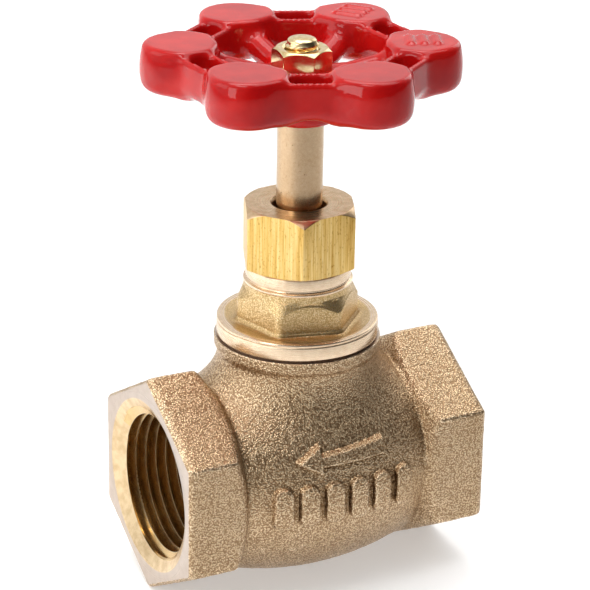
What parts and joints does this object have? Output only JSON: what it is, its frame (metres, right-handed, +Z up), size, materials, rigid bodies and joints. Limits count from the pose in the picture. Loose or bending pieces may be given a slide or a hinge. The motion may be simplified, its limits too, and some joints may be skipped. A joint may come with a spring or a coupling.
{
  "type": "globe valve",
  "caption": "Compact bronze globe valve with threaded ports, hexagon ends, screw-in bonnet, packing nut, rising stem and lobed handwheel that closes a swivelling seat disc.",
  "frame": {"origin": "on the stem's axis, level with the lowest point of the two end hexagons; the pipe's axis is 19.087 mm above it", "axes": "+Z up the stem to the handwheel, +X along the pipe towards the inlet; the flow runs to -X, and +Y completes the right-handed frame"},
  "size_m": [0.0546, 0.0514, 0.0926],
  "materials": {
    "cast_bronze": "sand-cast, fine grain, satin",
    "turned_bronze": "turned, satin to polished",
    "stem_bronze": "ground, satin",
    "drawn_brass": "drawn hexagon bar, turned ends",
    "polished_brass": "polished",
    "red_enamel": "thick gloss enamel",
    "packing": "graphited braid, matte",
    "gasket_fibre": "pressed fibre, matte",
    "disc_polymer": "smooth white seat polymer"
  },
  "bodies": {
    "valve_body": {"body": "cast_bronze", "bridge": "cast_bronze", "bonnet": "turned_bronze", "bonnet_gasket": "gasket_fibre", "packing_washer": "turned_bronze", "packing_ring_lower": "packing", "packing_ring_middle": "packing", "packing_ring_upper": "packing", "packing_gland": "drawn_brass", "packing_nut": "drawn_brass"},
    "disc": {"disc_holder": "turned_bronze", "seat_disc": "disc_polymer", "disc_washer": "drawn_brass", "disc_nut": "drawn_brass"},
    "stem": {"stem": "stem_bronze", "handwheel": "red_enamel", "wheel_nut": "polished_brass"}
  },
  "joints": [
    {"name": "disc_lift", "type": "slide", "parent": "valve_body", "child": "disc", "axis": [0, 0, 1], "range_m": [-0.0075, 0]},
    {"name": "stem_turn", "type": "hinge", "parent": "disc", "child": "stem", "pos_m": [0, 0, 0.06], "axis": [0, 0, 1], "range_deg": [-1080, 0]}
  ],
  "couplings": [
    {"joint": "disc_lift", "follows": "stem_turn", "m_per_rad": 0.00039788}
  ]
}
